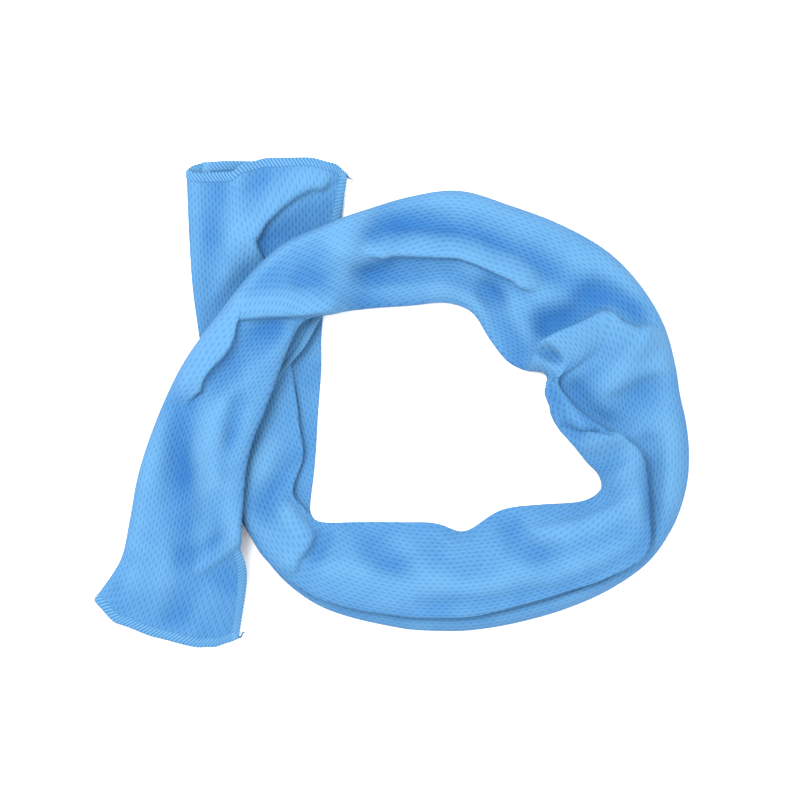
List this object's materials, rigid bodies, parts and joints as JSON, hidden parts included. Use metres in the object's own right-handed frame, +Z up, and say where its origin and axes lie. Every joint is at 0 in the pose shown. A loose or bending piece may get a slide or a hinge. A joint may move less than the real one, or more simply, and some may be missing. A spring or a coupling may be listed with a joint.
{
  "type": "cooling towel",
  "caption": "Soft mesh cooling towel folded lengthwise and laid flat in a loop, with one end crossing over the other and overlocked edges.",
  "frame": {"origin": "centre of the footprint, on the floor that the towel lies on", "axes": "+X across the loop towards its right side in the picture, +Y towards the top of the picture, +Z up from the floor towards the camera"},
  "size_m": [0.3636, 0.2974, 0.0296],
  "materials": {
    "cloth": "matte",
    "overlock_thread": "matte"
  },
  "bodies": {
    "root": {"towel_cloth": "cloth", "side_hem_left": "overlock_thread", "side_hem_right": "overlock_thread", "end_hem_a": "overlock_thread", "end_hem_b": "overlock_thread"}
  },
  "joints": []
}
